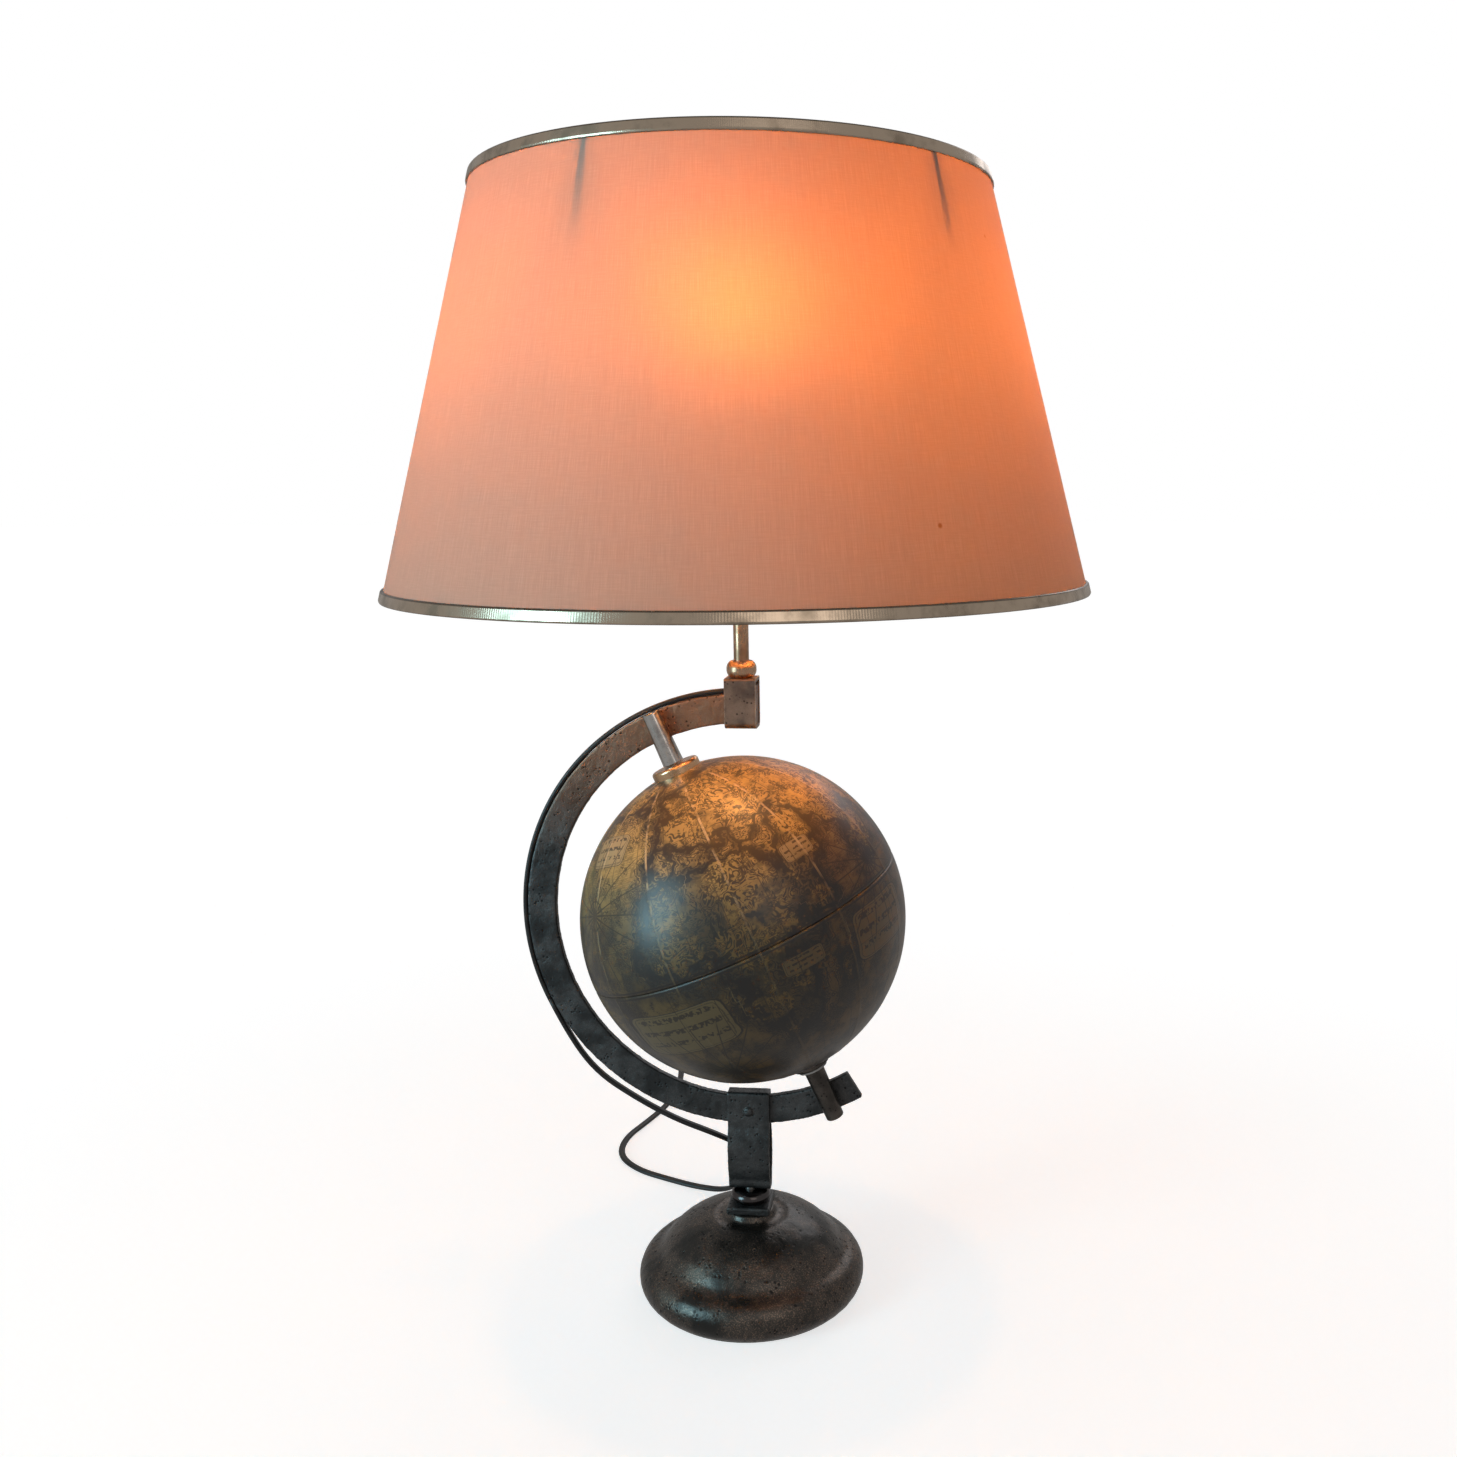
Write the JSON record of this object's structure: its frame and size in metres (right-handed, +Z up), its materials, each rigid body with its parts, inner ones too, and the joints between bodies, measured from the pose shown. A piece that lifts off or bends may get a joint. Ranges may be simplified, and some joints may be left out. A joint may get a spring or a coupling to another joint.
{
  "type": "table lamp",
  "caption": "Table lamp with a tapered drum shade on a C-shaped bar stand that carries a tilted antique-style globe, on a domed round base with a mains lead.",
  "frame": {"origin": "centre of the round base, on the table", "axes": "+Z up, -Y to the front, +X to the right seen from the front"},
  "size_m": [0.4469, 0.7307, 0.7385],
  "materials": {
    "base_iron": "dark bronzed, hammered and lacquered",
    "felt": "felt",
    "zinc_steel": "zinc plated",
    "black_iron": "blackened, hammered",
    "brown_steel": "browned",
    "gunmetal": "gloss gunmetal",
    "brass": "aged, polished",
    "dark_collar": "dark bronze",
    "post_steel": "polished",
    "map_print": "antique map print, gloss varnish",
    "card": "plain",
    "wire_sleeve": "plain",
    "porcelain": "plain",
    "bakelite": "gloss",
    "bulb_metal": "satin",
    "bulb_glass": "opal, lit",
    "bulb_stem": "clear",
    "shade_silk": "fine slub silk over a stiff lining",
    "shade_trim": "bright metallised edging",
    "ring_wire": "white",
    "cord_black": "satin flex",
    "tie": "satin",
    "plug_black": "satin",
    "pin_nickel": "nickel"
  },
  "bodies": {
    "stand": {"base_casting": "base_iron", "base_felt": "felt", "base_washer": "zinc_steel", "base_nut": "zinc_steel", "stem_stud": "zinc_steel", "strap_nut": "zinc_steel", "upper_post_screw": "zinc_steel", "lower_post_screw": "zinc_steel", "head_lock_nut": "zinc_steel", "thrust_washer": "zinc_steel", "foot_plate": "black_iron", "stem_strap": "black_iron", "meridian_bar": "black_iron", "head_core": "black_iron", "strap_screw": "black_iron", "head_block": "brown_steel", "foot_ball": "gunmetal", "tube_ball": "brass", "lamp_tube": "brass", "holder_cap": "brass", "holder_body": "brass", "holder_ring": "brass", "holder_thread": "brass", "holder_contact": "brass", "upper_post": "post_steel", "lower_post": "dark_collar", "axle_rod": "post_steel", "holder_wires": "wire_sleeve", "holder_insert": "porcelain", "bulb_cap": "bulb_metal", "bulb_glass": "bulb_glass", "bulb_stem": "bulb_stem", "cord_on_bar": "cord_black", "cord_free": "cord_black", "cord_tail": "cord_black", "cord_coil": "cord_black", "cord_tie": "tie", "plug_relief": "plug_black", "plug_body": "plug_black", "plug_pins": "pin_nickel"},
    "globe": {"globe_north_half": "map_print", "globe_south_half": "map_print", "globe_joint_ring": "card", "upper_pole_bush": "brass", "lower_pole_bush": "brass", "upper_pole_collar": "brass", "lower_pole_collar": "dark_collar"},
    "shade": {"shade_cover": "shade_silk", "shade_bottom_trim": "shade_trim", "shade_top_trim": "shade_trim", "shade_bottom_ring": "ring_wire", "shade_top_ring": "ring_wire", "shade_spider": "ring_wire"},
    "switch_key": {"switch_key": "bakelite"}
  },
  "joints": [
    {"name": "globe_spin", "type": "hinge", "parent": "stand", "child": "globe", "pos_m": [0, -0.0082, 0.2705], "axis": [-0.3972, 0, 0.9178], "continuous": true},
    {"name": "shade_turn", "type": "hinge", "parent": "stand", "child": "shade", "pos_m": [0, 0, 0.62], "axis": [0, 0, 1], "continuous": true},
    {"name": "switch_turn", "type": "hinge", "parent": "stand", "child": "switch_key", "pos_m": [0.03, 0, 0.597], "axis": [1, 0, 0], "continuous": true}
  ]
}
